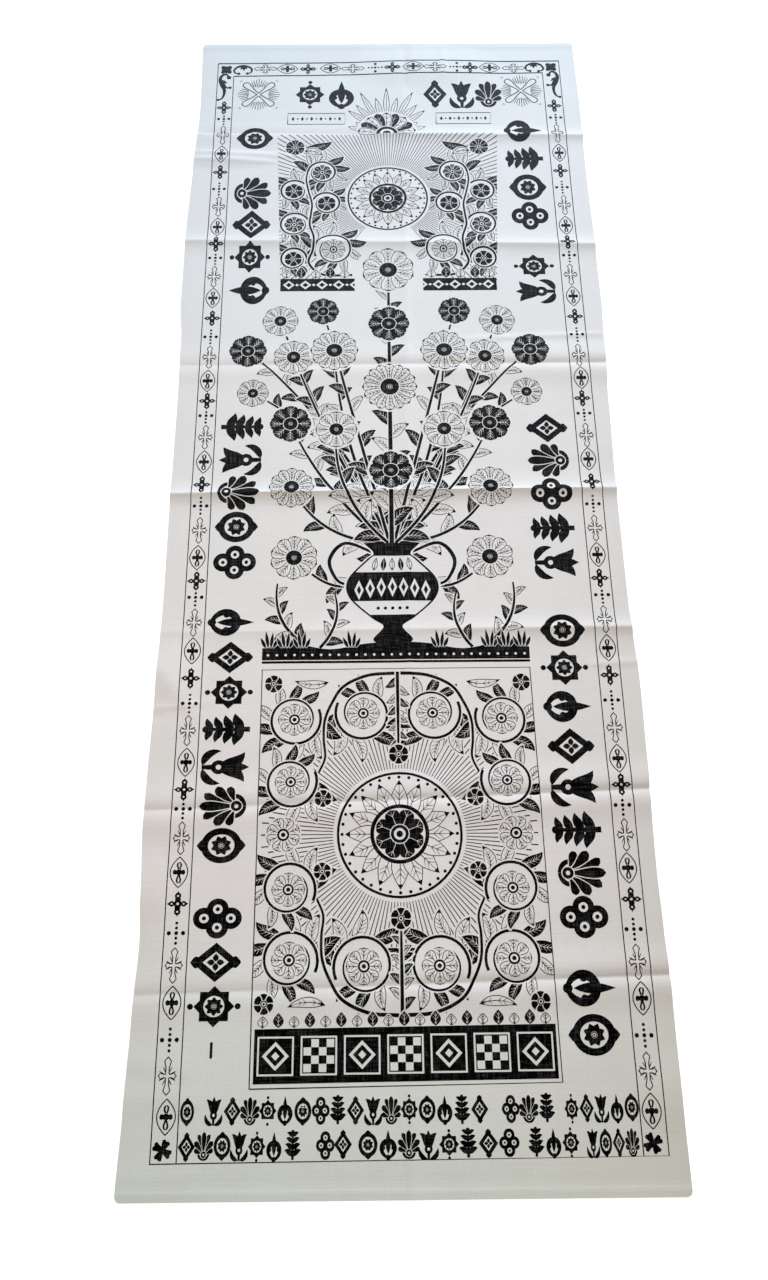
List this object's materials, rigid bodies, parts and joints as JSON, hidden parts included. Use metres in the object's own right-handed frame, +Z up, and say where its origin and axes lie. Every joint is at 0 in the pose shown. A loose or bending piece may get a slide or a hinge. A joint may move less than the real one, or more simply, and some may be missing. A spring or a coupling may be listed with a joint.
{
  "type": "burial shroud",
  "caption": "Long flat cotton burial cloth with a printed border, laid out face up with the ridges and creases of its packing folds.",
  "frame": {"origin": "on the surface the cloth lies on, under the middle of its length and width", "axes": "+X to the right across the cloth, +Y along it from the foot end to the head end, +Z up from its printed face"},
  "size_m": [0.659, 1.8001, 0.0078],
  "materials": {
    "white_cotton": "thin plain-woven cotton, matt, off-white, pressed into sharp packing creases",
    "black_print": "matt black screen print soaked into the cotton, with the weave showing through"
  },
  "bodies": {
    "root": {"shroud_cloth": "white_cotton"}
  },
  "joints": []
}
